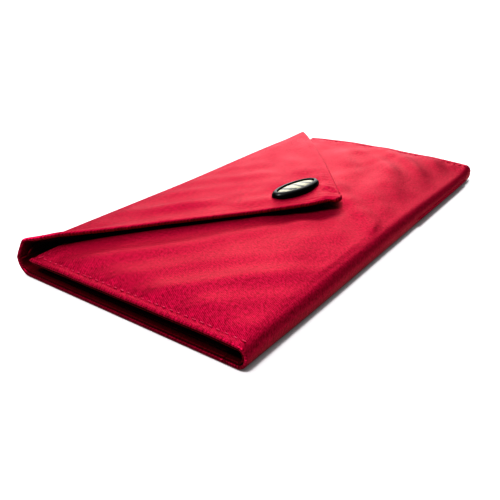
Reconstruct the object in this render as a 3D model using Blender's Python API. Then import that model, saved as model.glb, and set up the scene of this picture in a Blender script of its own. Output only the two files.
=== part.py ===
"""Slim envelope pouch in stiffened satin, lying closed on its back.

Four soft panels (back, spine, flap and front) are each a stack of outer satin, stiffener and lining.
The spine folds up from the back, the flap folds over from the spine, and the front swings up from the
round bottom fold. Bellows gussets close the short sides, and a magnetic snap under an oval button holds
the flap. +X runs along the long side, +Y towards the spine, +Z up, and the back rests on z = 0.
"""

import math

import bmesh
import bpy
from mathutils import Matrix, Vector

MM = 0.001

# ---- driving dimensions, in millimetres -------------------------------------------------------------
LENGTH = 200.0  # long side, along X
WIDTH = 103.6  # short side, from the bottom fold to the spine
FOLD_HEIGHT = 9.5  # height of the round bottom fold
MOUTH_HEIGHT = 7.8  # top of the front panel at the mouth
MOUTH_Y = 44.5  # the mouth's hemmed edge
MOUTH_EDGE_DROP = 0.7  # how much lower the hems of the short sides lie, at the mouth
RIM_WIDTH = 12.0  # band along each short side that slopes down to its hem
SPINE_HEIGHT = 9.9  # top of the flap at the spine
FLAP_HALF_BASE = 97.5  # half the flap's width at the spine
TIP_X = 2.0  # the closed flap lies a little off centre
TIP_Y = -25.5
TIP_RADIUS = 3.0
TIP_HEIGHT = 14.5  # top of the flap at its tip

SATIN = 0.35  # outer cloth
LINING = 0.35
BOARD = 0.40  # stiffener
GAP = 0.25  # clearance between touching layers
STACK = SATIN + GAP + BOARD + GAP + LINING

LINING_INSET = 1.2  # the lining stops short of the hems
BOARD_INSET = 4.0  # the stiffener stops short of the hems
FOLD_START = 170.0  # the front leaves this much of the round fold free, so that it can swing
GUSSET_DEPTH = 9.5  # each folded gusset leaf, from the short side inwards
GUSSET_CLOTH = 0.40
GUSSET_EDGE = 98.5

BUTTON_X, BUTTON_Y = 1.5, -4.0
BUTTON_LENGTH, BUTTON_WIDTH, BUTTON_HEIGHT = 28.0, 11.5, 2.2
BUTTON_TURN = -8.0  # degrees from the long side
INLAY_LENGTH, INLAY_WIDTH, INLAY_DEPTH = 23.0, 7.2, 1.2
SHANK_RADIUS = 1.6
SHANK_HOLE = 2.8  # hole of the washer that the shank and its thread pass through
THREAD_RADIUS = 2.4

SNAP_RADIUS = 7.0
SNAP_BOTTOM, SNAP_TOP = 9.05, 10.40
SNAP_WALL = 0.40
SOCKET_RADIUS = 2.5
STUD_RADIUS = 1.9
STUD_PLATE_RADIUS = 6.0
STUD_PLATE_BOTTOM, STUD_PLATE_TOP = 10.65, 11.15
STUD_BOTTOM = 9.75
MAGNET_INNER, MAGNET_OUTER = 2.9, 6.2
MAGNET_BOTTOM, MAGNET_TOP = 9.30, 9.80
WASHER_RADIUS = 5.5
WASHER_CUT = 6.0  # round cut-out of a stiffener that a washer sits in

# ---- derived positions ------------------------------------------------------------------------------
HALF_LENGTH = LENGTH / 2
HALF_WIDTH = WIDTH / 2
FOLD_RADIUS = FOLD_HEIGHT / 2
FOLD_Y = -HALF_WIDTH + FOLD_RADIUS  # centre line of the round fold, and the front's joint
FOLD_Z = FOLD_RADIUS
HINGE_Y = HALF_WIDTH - STACK / 2  # both spine joints run through the middle of the cloth stack
SPINE_HINGE_Z = STACK / 2
FLAP_HINGE_Z = SPINE_HEIGHT - STACK / 2
SPINE_INNER_Y = HALF_WIDTH - STACK
BACK_END_Y = SPINE_INNER_Y - 0.3
SPINE_TOP_Z = SPINE_HEIGHT - STACK - 0.3
FLAP_SLOPE = (TIP_HEIGHT - SPINE_HEIGHT) / (HINGE_Y - TIP_Y)
FRONT_SLOPE = (MOUTH_HEIGHT - FOLD_HEIGHT) / (MOUTH_Y - FOLD_Y)


def clear_scene():
    for obj in list(bpy.data.objects):
        bpy.data.objects.remove(obj, do_unlink=True)


def material(name, colour, roughness, metallic=0.0):
    mat = bpy.data.materials.new(name)
    mat.use_nodes = True
    shader = mat.node_tree.nodes["Principled BSDF"]
    shader.inputs["Base Color"].default_value = (*colour, 1.0)
    shader.inputs["Roughness"].default_value = roughness
    shader.inputs["Metallic"].default_value = metallic
    mat.diffuse_color = (*colour, 1.0)
    return mat


def joint_empty(name, y, z):
    """An empty on a joint's axis, which its moving pieces are parented to."""
    empty = bpy.data.objects.new(name, None)
    empty.location = Vector((0.0, y, z)) * MM
    bpy.context.scene.collection.objects.link(empty)
    return empty


def place(obj, parent):
    """Parents a mesh made in world coordinates without moving it."""
    if parent is None:
        return obj
    obj.data.transform(Matrix.Translation(-parent.location))
    obj.parent = parent
    return obj


def new_object(name, bm, mat, parent=None, helper=False):
    """Turns a bmesh in millimetres into an object in metres."""
    bmesh.ops.scale(bm, vec=(MM, MM, MM), verts=bm.verts)
    bmesh.ops.recalc_face_normals(bm, faces=bm.faces)
    mesh = bpy.data.meshes.new(name)
    bm.to_mesh(mesh)
    bm.free()
    if mat:
        mesh.materials.append(mat)
    mesh.shade_smooth()
    mesh.set_sharp_from_angle(angle=math.radians(35))
    obj = bpy.data.objects.new(name, mesh)
    bpy.context.scene.collection.objects.link(obj)
    if helper:
        obj.hide_render = True
        obj.display_type = "WIRE"
    return place(obj, parent)


def grid_solid(name, outer, inner, mat, parent=None):
    """A closed sheet between two equal grids of points."""
    bm = bmesh.new()
    rows, columns = len(outer), len(outer[0])
    tops = [[bm.verts.new(p) for p in row] for row in outer]
    unders = [[bm.verts.new(p) for p in row] for row in inner]
    for i in range(rows - 1):
        for j in range(columns - 1):
            bm.faces.new((tops[i][j], tops[i][j + 1], tops[i + 1][j + 1], tops[i + 1][j]))
            bm.faces.new((unders[i][j], unders[i + 1][j], unders[i + 1][j + 1], unders[i][j + 1]))
    rim = [(0, j) for j in range(columns)] + [(i, columns - 1) for i in range(1, rows)]
    rim += [(rows - 1, j) for j in range(columns - 2, -1, -1)] + [(i, 0) for i in range(rows - 2, 0, -1)]
    for (i, j), (k, m) in zip(rim, rim[1:] + rim[:1]):
        bm.faces.new((tops[i][j], unders[i][j], unders[k][m], tops[k][m]))
    return new_object(name, bm, mat, parent)


def box(name, low, high, mat, parent=None):
    bm = bmesh.new()
    bmesh.ops.create_cube(bm, size=1.0)
    for vert in bm.verts:
        vert.co = Vector((low[k] if vert.co[k] < 0 else high[k]) for k in range(3))
    return new_object(name, bm, mat, parent)


def cylinder(radius, z0, z1, segments=32):
    bm = bmesh.new()
    bmesh.ops.create_cone(bm, cap_ends=True, segments=segments, radius1=radius, radius2=radius, depth=z1 - z0)
    move(bm, 0.0, 0.0, (z0 + z1) / 2)
    return bm


def move(bm, x, y, z=0.0):
    bmesh.ops.translate(bm, vec=(x, y, z), verts=bm.verts)


def turned(profile, segments=32):
    """A closed ring or cup: the (radius, z) profile turned round the Z axis."""
    bm = bmesh.new()
    rings = []
    for k in range(segments):
        turn = 2 * math.pi * k / segments
        rings.append([bm.verts.new((r * math.cos(turn), r * math.sin(turn), z)) for r, z in profile])
    for ring, after in zip(rings, rings[1:] + rings[:1]):
        for a in range(len(profile)):
            b = (a + 1) % len(profile)
            bm.faces.new((ring[a], ring[b], after[b], after[a]))
    return bm


def ring_profile(inner, outer, low, high):
    return [(inner, low), (outer, low), (outer, high), (inner, high)]


def cut(obj, cutter):
    """Cuts a helper out of an object, with the exact solver."""
    modifier = obj.modifiers.new("cut", "BOOLEAN")
    modifier.operation = "DIFFERENCE"
    modifier.solver = "EXACT"
    modifier.object = cutter


def round_cutter(name, radius, z0, z1, x, y):
    bm = cylinder(radius, z0, z1)
    move(bm, x, y)
    return new_object(name, bm, None, helper=True)


# ---- panels that run round the bottom fold ----------------------------------------------------------
def fold_point(angle, depth):
    """(y, z) on the round fold, at a depth below its outer surface."""
    turn = math.radians(angle)
    radius = FOLD_RADIUS - depth
    return FOLD_Y + radius * math.cos(turn), FOLD_Z + radius * math.sin(turn)


def front_top(y):
    return FOLD_HEIGHT + FRONT_SLOPE * (y - FOLD_Y)


def rim_drop(x, y):
    """How far the sloping rim lies below the front panel's middle."""
    across = max(0.0, (abs(x) - (HALF_LENGTH - RIM_WIDTH)) / RIM_WIDTH)
    along = min(1.0, max(0.0, (y - FOLD_Y) / (MOUTH_Y - FOLD_Y)))
    return MOUTH_EDGE_DROP * across * along


def front_path(depth, fold_steps, y_end):
    path = []
    for k in range(fold_steps):
        path.append(fold_point(FOLD_START - (FOLD_START - 90.0) * k / fold_steps, depth))
    y_start = FOLD_Y if fold_steps else FOLD_Y + BOARD_INSET
    for share in (0.0, 0.25, 0.5, 0.75, 1.0):
        y = y_start + (y_end - y_start) * share
        path.append((y, front_top(y) - depth))
    return path


def back_path(depth, fold_steps, y_end):
    path = [fold_point(180.0 + 90.0 * k / fold_steps, depth) for k in range(fold_steps)]
    y_start = FOLD_Y if fold_steps else FOLD_Y + BOARD_INSET
    return path + [(y_start, depth), (y_end, depth)]


def panel_layer(name, path_of, depth, thickness, inset, y_end, fold_steps, mat, parent, drops):
    half = HALF_LENGTH - inset
    inner_edge = HALF_LENGTH - RIM_WIDTH
    columns = [-half, -(half + inner_edge) / 2, -inner_edge, 0.0, inner_edge, (half + inner_edge) / 2, half]
    if not drops:
        columns = [-half, half]
    grids = []
    for level in (depth, depth + thickness):
        path = path_of(level, fold_steps, y_end)
        grids.append([[(x, y, z - (rim_drop(x, y) if drops else 0.0)) for x in columns] for y, z in path])
    return grid_solid(name, grids[0], grids[1], mat, parent)


def panel(name, path_of, y_end, mats, parent, drops):
    """Outer satin, stiffener and lining of the back or the front."""
    satin, board, lining = mats
    board_depth = SATIN + GAP
    lining_depth = board_depth + BOARD + GAP
    panel_layer(f"{name}_outer", path_of, 0.0, SATIN, 0.0, y_end, 8, satin, parent, drops)
    stiffener = panel_layer(
        f"{name}_stiffener", path_of, board_depth, BOARD, BOARD_INSET, y_end - BOARD_INSET, 0, board, parent, drops
    )
    panel_layer(
        f"{name}_lining", path_of, lining_depth, LINING, LINING_INSET, y_end - LINING_INSET, 8, lining, parent, drops
    )
    return stiffener


def gusset_leaves(side, front_joint, mat):
    """The two leaves of one inward-folded gusset, one lying on the back and one under the front."""
    name = "left" if side < 0 else "right"
    xs = [side * GUSSET_EDGE, side * (GUSSET_EDGE - GUSSET_DEPTH)]
    ys = [FOLD_Y + 5.0, MOUTH_Y - 1.0]
    back_z = STACK + GAP
    box(
        f"{name}_gusset_back_leaf",
        (min(xs), ys[0], back_z),
        (max(xs), ys[1], back_z + GUSSET_CLOTH),
        mat,
    )
    grids = []
    for depth in (STACK + GAP, STACK + GAP + GUSSET_CLOTH):
        grids.append([[(x, y, front_top(y) - rim_drop(x, y) - depth) for x in xs] for y in ys])
    grid_solid(f"{name}_gusset_front_leaf", grids[0], grids[1], mat, front_joint)


# ---- spine and flap ---------------------------------------------------------------------------------
def spine(mats, parent):
    """Three upright strips between the two hinge lines."""
    layers = (
        ("outer", mats[0], 0.0, SATIN, 0.0),
        ("stiffener", mats[1], SATIN + GAP, BOARD, BOARD_INSET),
        ("lining", mats[2], SATIN + GAP + BOARD + GAP, LINING, LINING_INSET),
    )
    for name, mat, depth, thickness, inset in layers:
        half = HALF_LENGTH - inset
        outer_y = HALF_WIDTH - depth
        low = (-half, outer_y - thickness, SPINE_HINGE_Z)
        box(f"spine_{name}", low, (half, outer_y, SPINE_TOP_Z), mat, parent)


def flap_top(y):
    return SPINE_HEIGHT + FLAP_SLOPE * (HINGE_Y - y)


def flap_outline(inset):
    """The flap's corners at the spine, then its rounded tip."""
    half_angle = math.atan2(FLAP_HALF_BASE, HINGE_Y - TIP_Y)
    side_shift = inset / math.cos(half_angle)
    back_y = HINGE_Y - inset
    slope = FLAP_HALF_BASE / (HINGE_Y - TIP_Y)
    half = FLAP_HALF_BASE - side_shift - inset * slope
    radius = max(0.5, TIP_RADIUS - inset)
    centre_y = TIP_Y + inset / math.sin(half_angle) + radius / math.sin(half_angle)
    points = [(half, back_y), (-half, back_y)]
    spread = math.pi / 2 - half_angle
    for k in range(7):
        turn = -math.pi / 2 - spread + 2 * spread * k / 6
        points.append((TIP_X + radius * math.cos(turn), centre_y + radius * math.sin(turn)))
    return points


def flap_layer(name, depth, thickness, inset, mat, parent):
    bm = bmesh.new()
    outline = flap_outline(inset)
    tops = [bm.verts.new((x, y, flap_top(y) - depth)) for x, y in outline]
    unders = [bm.verts.new((x, y, flap_top(y) - depth - thickness)) for x, y in outline]
    bm.faces.new(tops)
    bm.faces.new(unders[::-1])
    for k in range(len(outline)):
        after = (k + 1) % len(outline)
        bm.faces.new((tops[k], unders[k], unders[after], tops[after]))
    return new_object(name, bm, mat, parent)


def flap(mats, parent):
    outer = flap_layer("flap_outer", 0.0, SATIN, 0.0, mats[0], parent)
    board = flap_layer("flap_stiffener", SATIN + GAP, BOARD, BOARD_INSET, mats[1], parent)
    flap_layer("flap_lining", SATIN + GAP + BOARD + GAP, LINING, LINING_INSET, mats[2], parent)
    return outer, board


# ---- button and magnetic snap -----------------------------------------------------------------------
def ellipse_rings(bm, rings, segments=40):
    """Stacks closed elliptical rings of (half length, half width, z), and caps both ends."""
    loops = []
    for half_x, half_y, z in rings:
        loop = []
        for k in range(segments):
            turn = 2 * math.pi * k / segments
            loop.append(bm.verts.new((half_x * math.cos(turn), half_y * math.sin(turn), z)))
        loops.append(loop)
    for low, high in zip(loops, loops[1:]):
        for k in range(segments):
            after = (k + 1) % segments
            bm.faces.new((low[k], low[after], high[after], high[k]))
    bm.faces.new(loops[0][::-1])
    bm.faces.new(loops[-1])


def on_flap(bm, lift):
    """Turns and tilts a piece made about the origin, and sets it on the flap at the button's place."""
    matrix = Matrix.Translation((BUTTON_X, BUTTON_Y, flap_top(BUTTON_Y) + lift))
    matrix @= Matrix.Rotation(-math.atan(FLAP_SLOPE), 4, "X")
    matrix @= Matrix.Rotation(math.radians(BUTTON_TURN), 4, "Z")
    bmesh.ops.transform(bm, matrix=matrix, verts=bm.verts)


def button(mats, parent):
    black, inlay_mat, thread = mats
    half_x, half_y = BUTTON_LENGTH / 2, BUTTON_WIDTH / 2
    in_x, in_y = INLAY_LENGTH / 2, INLAY_WIDTH / 2
    floor = BUTTON_HEIGHT - INLAY_DEPTH
    lift = GAP + 0.05
    bm = bmesh.new()
    body = [
        (half_x - 1.6, half_y - 1.4, 0.0),
        (half_x - 0.3, half_y - 0.3, 0.5),
        (half_x, half_y, 1.1),
        (half_x - 0.4, half_y - 0.3, 1.8),
        (half_x - 1.3, half_y - 0.9, BUTTON_HEIGHT),
        (in_x, in_y, BUTTON_HEIGHT - 0.2),
        (in_x, in_y, floor),
    ]
    ellipse_rings(bm, body)
    on_flap(bm, lift)
    new_object("button_body", bm, black, parent)

    clear = GAP
    bm = bmesh.new()
    stone = [(in_x - clear, in_y - clear, floor + clear), (in_x - clear, in_y - clear, BUTTON_HEIGHT - 0.3)]
    for share, rise in ((0.85, 0.05), (0.6, 0.2), (0.3, 0.3)):
        stone.append(((in_x - clear) * share, (in_y - clear) * share, BUTTON_HEIGHT - 0.3 + rise))
    ellipse_rings(bm, stone)
    on_flap(bm, lift)
    new_object("button_inlay", bm, inlay_mat, parent)

    board_low, board_high = -(SATIN + GAP + BOARD), -(SATIN + GAP)
    bm = cylinder(SHANK_RADIUS, board_low, lift - GAP)
    on_flap(bm, 0.0)
    new_object("button_shank", bm, black, parent)

    bm = turned(ring_profile(SHANK_RADIUS + GAP, THREAD_RADIUS, board_low, board_high), 24)
    on_flap(bm, 0.0)
    new_object("button_thread", bm, thread, parent)


def snap(steel, magnet, flap_joint, front_joint):
    """Socket cup, ring magnet and washer on the front; stud plate and washer on the flap."""
    x, y = BUTTON_X, BUTTON_Y
    cup = [
        (SOCKET_RADIUS, SNAP_TOP),
        (SOCKET_RADIUS, SNAP_TOP - SNAP_WALL),
        (SNAP_RADIUS - SNAP_WALL, SNAP_TOP - SNAP_WALL),
        (SNAP_RADIUS - SNAP_WALL, SNAP_BOTTOM),
        (SNAP_RADIUS, SNAP_BOTTOM),
        (SNAP_RADIUS, SNAP_TOP - 0.2),
        (SNAP_RADIUS - 0.2, SNAP_TOP),
    ]
    bm = turned(cup)
    move(bm, x, y)
    new_object("snap_socket", bm, steel, front_joint)

    bm = turned(ring_profile(MAGNET_INNER, MAGNET_OUTER, MAGNET_BOTTOM, MAGNET_TOP))
    move(bm, x, y)
    new_object("snap_magnet", bm, magnet, front_joint)

    stud = [(STUD_RADIUS - 0.3, STUD_BOTTOM), (STUD_RADIUS, STUD_BOTTOM + 0.3), (STUD_RADIUS, STUD_PLATE_BOTTOM)]
    stud += [(STUD_PLATE_RADIUS, STUD_PLATE_BOTTOM), (STUD_PLATE_RADIUS, STUD_PLATE_TOP)]
    bm = bmesh.new()
    ellipse_rings(bm, [(radius, radius, z) for radius, z in stud], 32)
    move(bm, x, y)
    new_object("snap_stud", bm, steel, flap_joint)

    bm = cylinder(WASHER_RADIUS, -BOARD, 0.0)
    tilt = Matrix.Translation((x, y, front_top(y) - SATIN - GAP)) @ Matrix.Rotation(math.atan(FRONT_SLOPE), 4, "X")
    bmesh.ops.transform(bm, matrix=tilt, verts=bm.verts)
    new_object("snap_socket_washer", bm, steel, front_joint)


def snap_stud_washer(steel, flap_joint):
    """A ring round the button's shank, in the flap stiffener's cut-out."""
    bm = turned(ring_profile(SHANK_HOLE, WASHER_RADIUS, -BOARD, 0.0))
    on_flap(bm, -(SATIN + GAP))
    new_object("snap_stud_washer", bm, steel, flap_joint)


def main():
    clear_scene()
    satin = material("red_satin", (0.55, 0.01, 0.04), 0.35)
    board = material("woven_interfacing", (0.75, 0.73, 0.68), 0.9)
    lining = material("red_lining", (0.25, 0.005, 0.02), 0.5)
    black = material("black_resin", (0.01, 0.01, 0.012), 0.15)
    shell = material("pale_shell", (0.62, 0.6, 0.5), 0.25)
    thread = material("red_thread", (0.45, 0.01, 0.03), 0.6)
    steel = material("nickel_plate", (0.62, 0.6, 0.58), 0.3, 1.0)
    magnet = material("magnet", (0.15, 0.15, 0.16), 0.45, 1.0)
    cloths = (satin, board, lining)

    front_joint = joint_empty("front_joint", FOLD_Y, FOLD_Z)
    spine_joint = joint_empty("spine_joint", HINGE_Y, SPINE_HINGE_Z)
    flap_joint = joint_empty("flap_joint", HINGE_Y, FLAP_HINGE_Z)

    panel("back", back_path, BACK_END_Y, cloths, None, False)
    front_board = panel("front", front_path, MOUTH_Y, cloths, front_joint, True)
    for side in (-1, 1):
        gusset_leaves(side, front_joint, satin)
    spine(cloths, spine_joint)
    flap_outer, flap_board = flap(cloths, flap_joint)
    button((black, shell, thread), flap_joint)
    snap(steel, magnet, flap_joint, front_joint)
    snap_stud_washer(steel, flap_joint)

    cut(front_board, round_cutter("front_cutter", WASHER_CUT, 5.0, 12.0, BUTTON_X, BUTTON_Y))
    cut(flap_board, round_cutter("flap_cutter", WASHER_CUT, 10.0, 16.0, BUTTON_X, BUTTON_Y))
    cut(flap_outer, round_cutter("shank_cutter", SHANK_RADIUS + GAP, 10.0, 16.0, BUTTON_X, BUTTON_Y))


main()
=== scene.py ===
"""Slim envelope pouch in red satin, lying closed under its oval button.

Every length in this file is in millimetres until a mesh is made, and the frame is the CAD's: +X along
the long side, +Y towards the spine, +Z up, and the back lies on z = 0.
"""

import math

import bmesh
import bpy
import numpy as np
from mathutils import Matrix, Vector


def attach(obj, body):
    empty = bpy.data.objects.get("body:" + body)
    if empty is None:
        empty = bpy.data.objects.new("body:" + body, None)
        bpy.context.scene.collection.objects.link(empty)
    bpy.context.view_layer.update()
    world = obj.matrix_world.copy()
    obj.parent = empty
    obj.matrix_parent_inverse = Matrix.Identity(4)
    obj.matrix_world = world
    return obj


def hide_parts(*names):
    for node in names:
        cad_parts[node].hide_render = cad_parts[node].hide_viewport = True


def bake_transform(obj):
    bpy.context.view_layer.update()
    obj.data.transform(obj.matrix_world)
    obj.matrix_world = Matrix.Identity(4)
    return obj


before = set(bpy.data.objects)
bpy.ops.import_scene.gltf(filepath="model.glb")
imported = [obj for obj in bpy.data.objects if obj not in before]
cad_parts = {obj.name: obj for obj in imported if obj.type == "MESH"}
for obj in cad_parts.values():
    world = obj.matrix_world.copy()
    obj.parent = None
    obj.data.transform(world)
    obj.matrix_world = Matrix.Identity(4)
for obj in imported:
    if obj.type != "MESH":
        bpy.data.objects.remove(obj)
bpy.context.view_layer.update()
MM = 0.001

# ---- sizes, in millimetres ----------------------------------------------------------------------
HALF_LENGTH = 100.0
HALF_WIDTH = 51.8
FOLD_HEIGHT = 9.5
MOUTH_HEIGHT = 7.8
MOUTH_Y = 44.5
FOLD_CENTRE_Y = -47.05
SEAM_Y = -43.0  # the front's cloth meets the back's under the pouch
FOLD_BOTTOM_RADIUS = 3.6
FOLD_TOP_RADIUS = 2.6
SPINE_SEAM_Z = 6.0  # half way up the spine, between its two folds
SPINE_BOTTOM_RADIUS = 5.7
SPINE_TOP_RADIUS = 1.6
SPINE_HEIGHT = 9.9
FLAP_HINGE_Y = 51.0
FLAP_HALF_BASE = 97.5
FLAP_FAR_BASE = 99.4
FLAP_SLOPE = 0.0601
TIP_X = 2.0
TIP_Y = -25.5
TIP_RADIUS = 3.0
EDGE_SLANT = 0.61  # distance square to a slanting edge of the flap, for each mm along x
EDGE_SHIFT = 1.64  # mm along x that such an edge moves in when the cloth is cut 1 mm smaller
TIP_SHIFT = 1.27  # mm along y that the tip moves in, likewise

# Cloth thicknesses, and how far each ply lies under the outer face and inside the satin's edge.
SATIN_HEM = 1.15  # turned double along the hems
SATIN_DEPTH = 0.65
SATIN_INSET = 0.55
BOARD_DEPTH = 0.35
BOARD_AT = 0.75
BOARD_INSET = 7.0
LINING_DEPTH = 0.85
LINING_AT = 1.25
LINING_INSET = 0.9
FLAP_SATIN_DEPTH = 0.85
FLAP_SATIN_INSET = 0.5
FLAP_ALLOWANCE = 0.85  # the allowance turned under along the slanting edges adds as much again
FLAP_BOARD_DEPTH = 0.3
FLAP_BOARD_AT = 0.87
FLAP_LINING_DEPTH = 0.75
FLAP_LINING_AT = 1.2
FLAP_LINING_INSET = 3.6
GUSSET_DEPTH = 0.4
GUSSET_GAP = 0.25
LEAST_RADIUS = 0.4  # tightest bend of a ply inside a fold
LINING_LEAST_RADIUS = 2.3  # the front's lining is loose, and turns in a wide loop

STITCH_INSET = 2.9
MOUTH_STITCH_INSET = 3.0
STITCH_PITCH = 3.0
STITCH_START = -48.0
STITCH_RUN = 90.0
STITCH_LENGTH = 1.7
THREAD_RADIUS = 0.25

BUTTON_X = 1.5
BUTTON_Y = -4.0
BUTTON_TURN = -8.0
SNAP_FLAT_RADIUS = 13.0  # the front is held flat round the snap's socket
SNAP_CALM_RADIUS = 11.0  # and free of wrinkles

# Blender's texture scales, from a size in mm: a wave of scale 1 repeats every 314 mm, and a noise of
# scale 1 has lumps about 1000 mm across.
WAVE_MM = 314.0
NOISE_MM = 1000.0


# ---- helpers ------------------------------------------------------------------------------------
def smooth(t):
    """0 below 0, 1 above 1, and an easy curve between them."""
    t = np.clip(t, 0.0, 1.0)
    return t * t * (3.0 - 2.0 * t)


def linear(hex_colour):
    """An sRGB hex colour as linear RGBA."""
    channels = [int(hex_colour[k : k + 2], 16) / 255 for k in (1, 3, 5)]
    return (*[c / 12.92 if c <= 0.04045 else ((c + 0.055) / 1.055) ** 2.4 for c in channels], 1.0)


def node(tree, kind, links=(), sockets=None, **settings):
    """Adds a node, sets its properties and sockets, and links (socket, source output) pairs."""
    made = tree.nodes.new(kind)
    for name, value in settings.items():
        setattr(made, name, value)
    for socket, value in (sockets or {}).items():
        made.inputs[socket].default_value = value
    for socket, source in links:
        tree.links.new(source, made.inputs[socket])
    return made


def new_material(name):
    """A new node material, its tree and its shader."""
    mat = bpy.data.materials.new(name)
    mat.use_nodes = True
    tree = mat.node_tree
    return mat, tree, tree.nodes["Principled BSDF"]


def set_sockets(shader, **values):
    """Sets sockets whose value is the same all over: the name has _ for each space."""
    for name, value in values.items():
        shader.inputs[name.replace("_", " ")].default_value = value


def link_mesh(name, verts, faces, uvs=None, mat=None):
    """A smooth mesh object in metres from millimetre points, with its UVs in metres."""
    mesh = bpy.data.meshes.new(name)
    mesh.from_pydata((np.asarray(verts) * MM).tolist(), [], faces)
    if uvs is not None:
        layer = mesh.uv_layers.new(name="cloth")
        corners = np.empty(len(mesh.loops), dtype=np.int32)
        mesh.loops.foreach_get("vertex_index", corners)
        layer.data.foreach_set("uv", (np.asarray(uvs)[corners] * MM).astype(np.float32).ravel())
    bm = bmesh.new()
    bm.from_mesh(mesh)
    bmesh.ops.recalc_face_normals(bm, faces=bm.faces)
    bm.to_mesh(mesh)
    bm.free()
    mesh.shade_smooth()
    if mat:
        mesh.materials.append(mat)
    obj = bpy.data.objects.new(name, mesh)
    bpy.context.scene.collection.objects.link(obj)
    return obj


def grid_normals(grid):
    """Unit normals of a grid of points, rows by columns."""
    across = np.gradient(grid, axis=1)
    along = np.gradient(grid, axis=0)
    normals = np.cross(across, along)
    return normals / np.linalg.norm(normals, axis=2, keepdims=True)


def cloth_shell(name, grid, depth, uv, mat, rounded=(True, True, True, True), steps=4, flip=False):
    """A closed sheet: an outer grid, an inner one at a depth under it, and a rim.

    The rim is round on the free edges (first row, last row, first column, last column), and flat where
    the cloth runs on into the next piece. Flip is for a grid whose rows run the other way round.
    """
    rows, columns = grid.shape[:2]
    normals = grid_normals(grid) * (-1 if flip else 1)
    depth = np.broadcast_to(np.asarray(depth, dtype=float), (rows, columns))
    inner = grid - normals * depth[..., None]
    verts = [grid.reshape(-1, 3), inner.reshape(-1, 3)]
    uvs = [uv.reshape(-1, 2), uv.reshape(-1, 2)]
    count = rows * columns
    faces = []
    for i in range(rows - 1):
        for j in range(columns - 1):
            a = i * columns + j
            faces.append((a, a + 1, a + columns + 1, a + columns))
            faces.append((count + a, count + a + columns, count + a + columns + 1, count + a + 1))

    loop = [(0, j) for j in range(columns)] + [(i, columns - 1) for i in range(1, rows)]
    loop += [(rows - 1, j) for j in range(columns - 2, -1, -1)] + [(i, 0) for i in range(rows - 2, 0, -1)]
    along = np.gradient(grid, axis=0)
    across = np.gradient(grid, axis=1)
    bulges = []
    for i, j in loop:
        out = np.zeros(3)
        for hit, vec, is_round in (
            (i == 0, -along[i, j], rounded[0]),
            (i == rows - 1, along[i, j], rounded[1]),
            (j == 0, -across[i, j], rounded[2]),
            (j == columns - 1, across[i, j], rounded[3]),
        ):
            if hit and is_round:
                out += vec / np.linalg.norm(vec)
        length = np.linalg.norm(out)
        bulges.append(out / length if length > 0 else out)
    bulges = np.array(bulges)
    index = np.array([i * columns + j for i, j in loop])
    top = grid.reshape(-1, 3)[index]
    under = inner.reshape(-1, 3)[index]
    middle = (top + under) / 2
    half = (top - under) / 2
    reach = np.linalg.norm(half, axis=1, keepdims=True)
    rings = [index]
    base = 2 * count
    edge_uv = uv.reshape(-1, 2)[index]
    for k in range(1, steps):
        turn = math.pi * k / steps
        ring = middle + half * math.cos(turn) + bulges * reach * math.sin(turn)
        verts.append(ring)
        uvs.append(edge_uv + 0.4 * math.sin(turn))
        rings.append(np.arange(base, base + len(index)))
        base += len(index)
    rings.append(index + count)
    for ring, after in zip(rings, rings[1:]):
        for k in range(len(index)):
            m = (k + 1) % len(index)
            faces.append((int(ring[k]), int(after[k]), int(after[m]), int(ring[m])))
    return link_mesh(name, np.concatenate(verts), faces, np.concatenate(uvs), mat)


def arc(centre, radius, start, end, steps):
    """(y, z) points on an arc, in degrees, without its last point."""
    turns = np.radians(start + (end - start) * np.arange(steps) / steps)
    return np.stack([centre[0] + radius * np.cos(turns), centre[1] + radius * np.sin(turns)], -1)


# ---- wrinkles: cloth cut a little too large, settling between its seams --------------------------
SIM_SCALE = 0.01  # the cloth settles at ten times its size, where the solver is steady
SIM_STEP = 2.5
EXCESS = 0.012  # share by which the cloth is cut too large, mostly across the slanting folds
CLOTH_SETTINGS = {
    "quality": 7,
    "mass": 0.15,
    "tension_stiffness": 40.0,
    "compression_stiffness": 40.0,
    "shear_stiffness": 16.0,
    "bending_stiffness": 30.0,
    "air_damping": 2.0,
    "tension_damping": 10.0,
    "compression_damping": 10.0,
    "shear_damping": 10.0,
    "vertex_group_mass": "seams",
}


def soft_folds(x, y, seed):
    """Low folds that the cloth starts from: they slant one way on the left and the other on the right."""
    rng = np.random.default_rng(seed)
    height = np.zeros(x.shape)
    for _ in range(26):
        cx, cy = rng.uniform(x.min(), x.max()), rng.uniform(y.min(), y.max())
        lean = (0.93 if cx < 0 else 2.2) + rng.uniform(-0.3, 0.3)
        across = (x - cx) * math.cos(lean) + (y - cy) * math.sin(lean)
        along = -(x - cx) * math.sin(lean) + (y - cy) * math.cos(lean)
        wave = np.cos(across * 2 * math.pi / rng.uniform(13, 26))
        height += 0.5 * wave * np.exp(-((across / 22) ** 2) - (along / 45) ** 2)
    return np.maximum(height + 0.25, 0.02)


def board_under(name, reach):
    """The flat board that the cloth settles on."""
    low = -0.001
    corners = [(-reach, -reach, low), (reach, -reach, low), (reach, reach, low), (-reach, reach, low)]
    plane = bpy.data.meshes.new(name)
    plane.from_pydata(corners, [], [(0, 1, 2, 3)])
    board = bpy.data.objects.new(name, plane)
    bpy.context.scene.collection.objects.link(board)
    board.modifiers.new("collide", "COLLISION")
    board.collision.thickness_outer = 0.001
    board.collision.cloth_friction = 0.0
    return board


def ease(field):
    """Each height moves half way to the mean of its four neighbours."""
    padded = np.pad(field, 1, mode="edge")
    neighbours = padded[1:-1, 1:-1] * 4 + padded[:-2, 1:-1] + padded[2:, 1:-1]
    return (neighbours + padded[1:-1, :-2] + padded[1:-1, 2:]) / 8


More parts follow.
